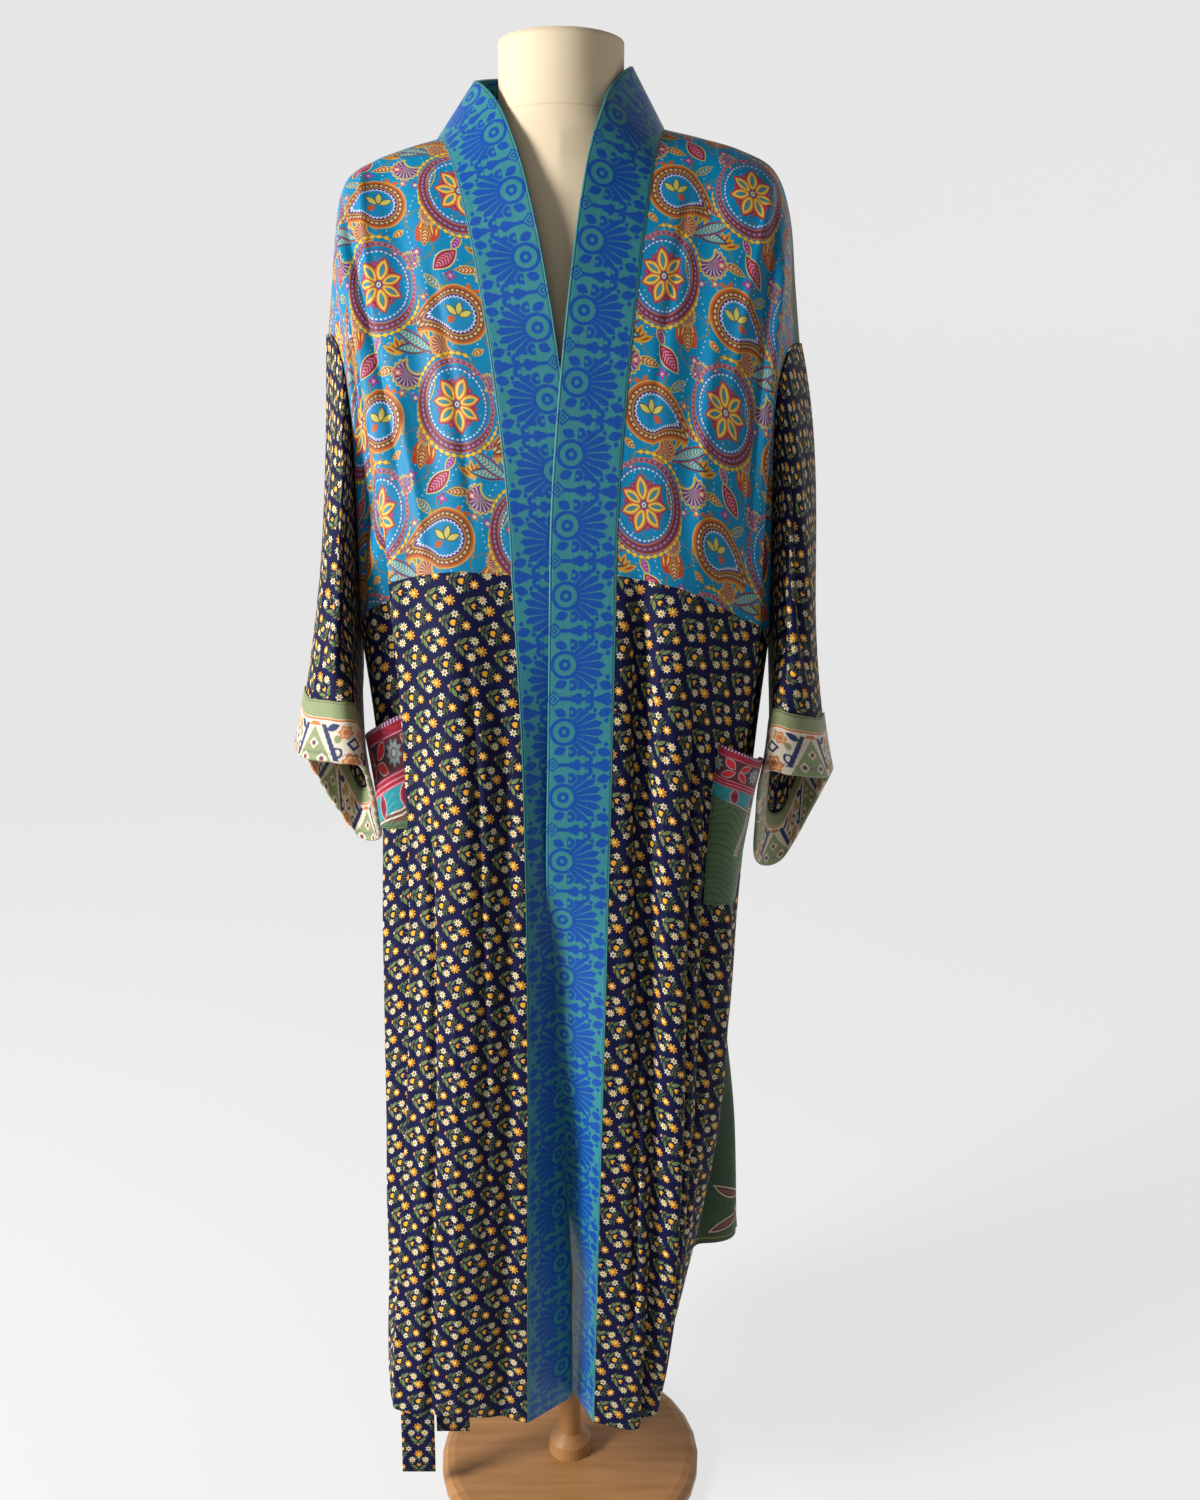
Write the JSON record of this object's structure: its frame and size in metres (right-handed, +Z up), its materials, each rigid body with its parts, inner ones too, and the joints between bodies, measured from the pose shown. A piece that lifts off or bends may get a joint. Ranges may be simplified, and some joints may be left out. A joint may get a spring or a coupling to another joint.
{
  "type": "kimono on a dress form",
  "caption": "Long open-front patchwork kimono robe with band collar, wide turned-cuff sleeves, patch pockets and a belt, hung on a limbless dress form with a pole and round base.",
  "frame": {"origin": "centre of the underside of the dress form's round base", "axes": "+Z up; the front of the robe faces -Y; +X is the wearer's left"},
  "size_m": [0.545, 0.3049, 1.52],
  "materials": {
    "paisley": "smooth turquoise cloth with a paisley print and a soft sheen",
    "navy_floral": "navy cloth with a small yellow and cream floral print",
    "green_cloth": "dark olive green cloth with a flowered border at the hem",
    "blue_band": "royal blue and teal print, doubled and topstitched",
    "cuff_border": "sage strip above a cream ikat-like border",
    "pocket_patch": "patchwork of crimson, turquoise and green cloth with quilting lines",
    "thread": "narrow strip of the navy cloth",
    "form_cover": "ivory jersey stretched over the form",
    "wood": "pale clear-lacquered wood"
  },
  "bodies": {
    "root": {"front_yoke_right": "paisley", "front_yoke_left": "paisley", "front_skirt_right": "navy_floral", "front_skirt_left": "navy_floral", "back": "green_cloth", "front_band": "blue_band", "sleeve_right": "navy_floral", "cuff_right": "cuff_border", "sleeve_left": "navy_floral", "cuff_left": "cuff_border", "pocket_right": "pocket_patch", "pocket_left": "pocket_patch", "belt": "navy_floral", "belt_loop": "thread", "form_torso": "form_cover", "form_pole": "wood", "form_base": "wood"}
  },
  "joints": []
}
